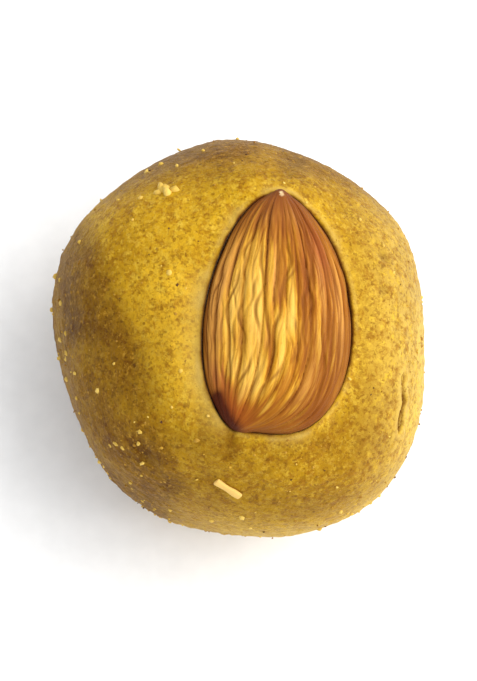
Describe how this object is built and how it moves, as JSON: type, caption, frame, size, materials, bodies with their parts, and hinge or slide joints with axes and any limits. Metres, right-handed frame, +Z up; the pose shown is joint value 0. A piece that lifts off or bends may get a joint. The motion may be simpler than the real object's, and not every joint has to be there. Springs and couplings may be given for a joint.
{
  "type": "besan ladoo",
  "caption": "Hand-rolled ball of roasted gram flour sweet with a flattened crown, a small flat foot and a whole ridged almond pressed into its top.",
  "frame": {"origin": "centre of the bounding box's footprint, on the flat foot that the ball rests on", "axes": "+Z up through the crown; +Y along the ball's longest side, the way the almond's pointed tip lies; +X to the right of it"},
  "size_m": [0.0382, 0.0406, 0.0369],
  "materials": {
    "besan_paste": "matte",
    "almond_skin": "satin"
  },
  "bodies": {
    "root": {"besan_ball": "besan_paste", "almond": "almond_skin"}
  },
  "joints": []
}
